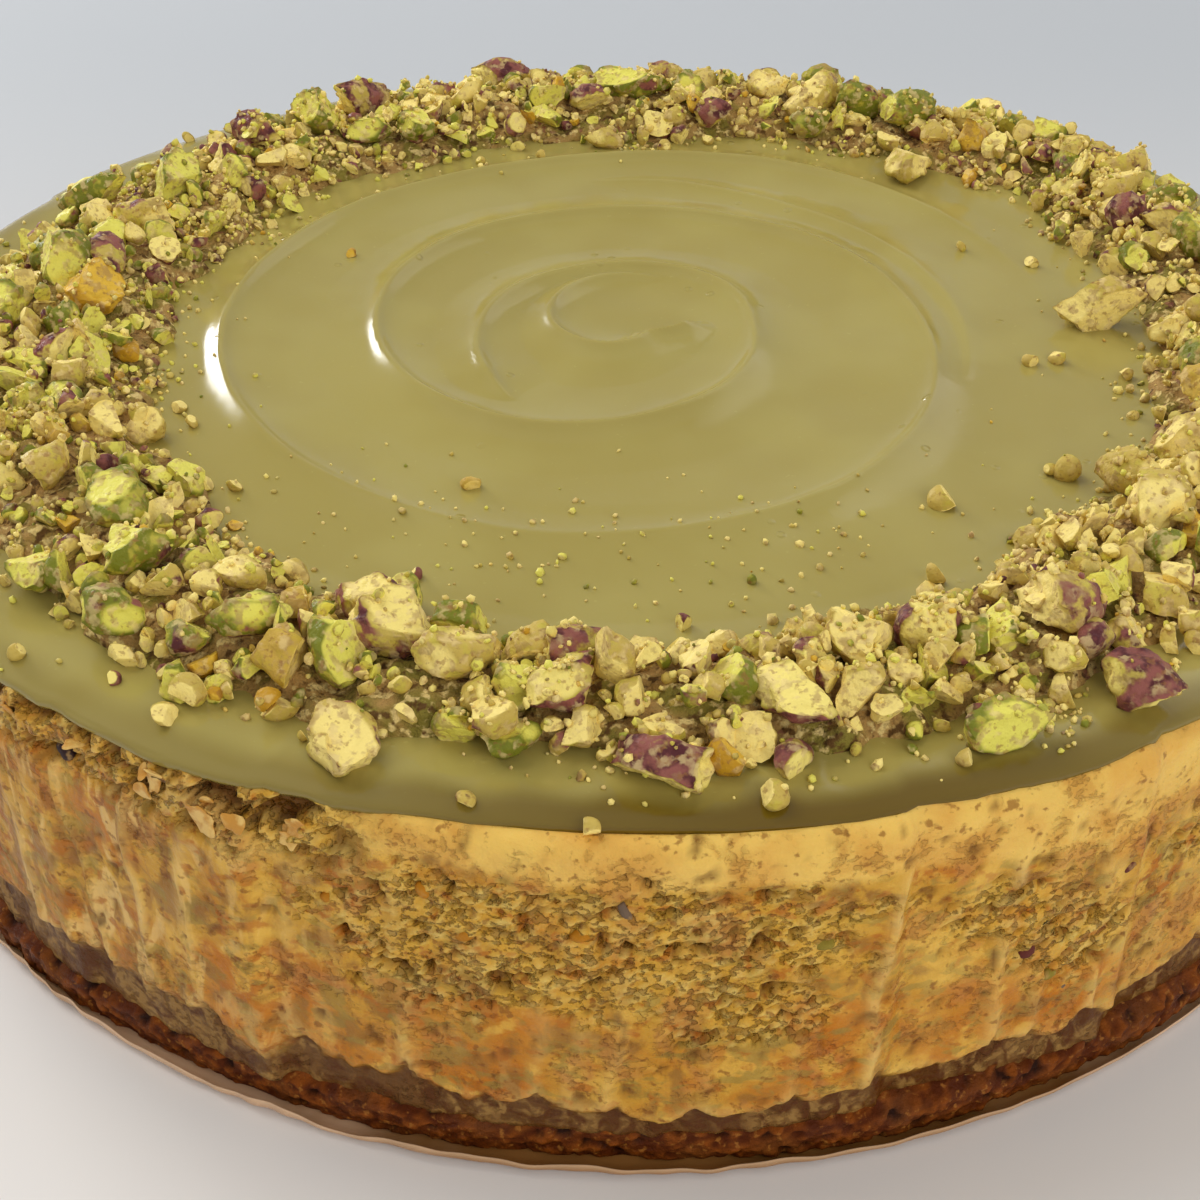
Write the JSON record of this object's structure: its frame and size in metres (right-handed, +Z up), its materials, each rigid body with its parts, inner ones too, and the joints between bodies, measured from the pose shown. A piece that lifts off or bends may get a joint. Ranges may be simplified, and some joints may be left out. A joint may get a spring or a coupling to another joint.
{
  "type": "baked cheesecake",
  "caption": "Round baked pistachio cheesecake on a crumb base and baking paper, with a swirled pistachio cream top and a heaped ring of chopped nuts.",
  "frame": {"origin": "centre of the flat underside, on the surface the cake stands on", "axes": "+Z up, through the middle of the cake; +X to the right and +Y away from the side shown"},
  "size_m": [0.2333, 0.2334, 0.0678],
  "materials": {
    "paper": "thin unbleached baking paper, greasy where the crumb touches it",
    "crust": null,
    "filling": null,
    "cream": null,
    "nuts": null
  },
  "bodies": {
    "root": {"paper": "paper", "crust": "crust", "filling": "filling", "cream": "cream", "nut_ring": "nuts"}
  },
  "joints": []
}
